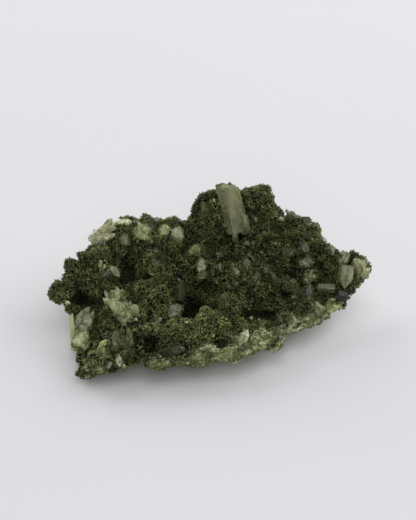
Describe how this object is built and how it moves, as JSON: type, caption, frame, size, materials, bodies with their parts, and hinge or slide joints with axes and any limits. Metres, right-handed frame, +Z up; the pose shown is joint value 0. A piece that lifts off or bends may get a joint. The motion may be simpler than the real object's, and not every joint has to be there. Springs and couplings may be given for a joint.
{
  "type": "epidote crystal cluster",
  "caption": "Loose mineral specimen: a slab of rock under a lumpy dark green epidote crust, with a tall quartz blade and smaller quartz crystals standing in it.",
  "frame": {"origin": "middle of the bounding box, on the surface that the specimen lies on", "axes": "+X along the slab's length towards its pointed tip, +Y to the back where the crust rises highest, +Z up"},
  "size_m": [0.1202, 0.0666, 0.0491],
  "materials": {
    "epidote_crust": "drusy dark green epidote needles over light green granular rock, matt with small sparkles",
    "clear_quartz": "see-through grey-green quartz with growth lines and inner veils",
    "milky_quartz": "cloudy whitish quartz, part see-through",
    "smoky_quartz": "dark grey-green quartz full of green needles",
    "stained_quartz": "yellow-green stained quartz, rough and part see-through"
  },
  "bodies": {
    "root": {"epidote_matrix": "epidote_crust", "quartz_blade": "clear_quartz", "quartz_dark_point": "smoky_quartz", "quartz_green_block": "smoky_quartz", "quartz_white_spark": "milky_quartz", "quartz_under_spark": "smoky_quartz", "quartz_slope_knob": "stained_quartz", "quartz_slope_point": "milky_quartz", "quartz_slope_chip": "clear_quartz", "quartz_slope_bead": "stained_quartz", "quartz_slope_block": "smoky_quartz", "quartz_slope_bar": "clear_quartz", "quartz_right_block": "milky_quartz", "quartz_right_wedge": "stained_quartz", "quartz_right_point": "clear_quartz", "quartz_right_tuft": "milky_quartz", "quartz_right_bar": "smoky_quartz", "quartz_right_facet": "smoky_quartz", "quartz_right_grain": "milky_quartz", "quartz_right_tip": "clear_quartz", "quartz_front_right_tuft": "stained_quartz", "quartz_front_right_block": "stained_quartz", "quartz_front_flake": "smoky_quartz", "quartz_front_wedge": "stained_quartz", "quartz_front_shard": "milky_quartz", "quartz_left_pebble": "clear_quartz", "quartz_left_flake": "milky_quartz", "quartz_left_cluster": "stained_quartz", "quartz_vug_square": "milky_quartz", "quartz_vug_grain": "milky_quartz", "quartz_vug_back": "smoky_quartz", "quartz_left_wall_top": "milky_quartz", "quartz_left_wall_low": "stained_quartz", "quartz_left_sliver": "clear_quartz", "quartz_fibrous": "clear_quartz", "quartz_corner_shard": "clear_quartz", "quartz_corner_knob": "smoky_quartz", "quartz_corner_oval": "milky_quartz", "quartz_front_bar": "smoky_quartz", "quartz_rim_cap": "milky_quartz", "quartz_rim_left": "milky_quartz", "quartz_rim_chip": "clear_quartz", "quartz_rim_knob_a": "stained_quartz", "quartz_rim_knob_b": "smoky_quartz", "quartz_rim_knob_c": "milky_quartz", "quartz_shoulder_flake": "milky_quartz", "quartz_shoulder_block": "clear_quartz"}
  },
  "joints": []
}
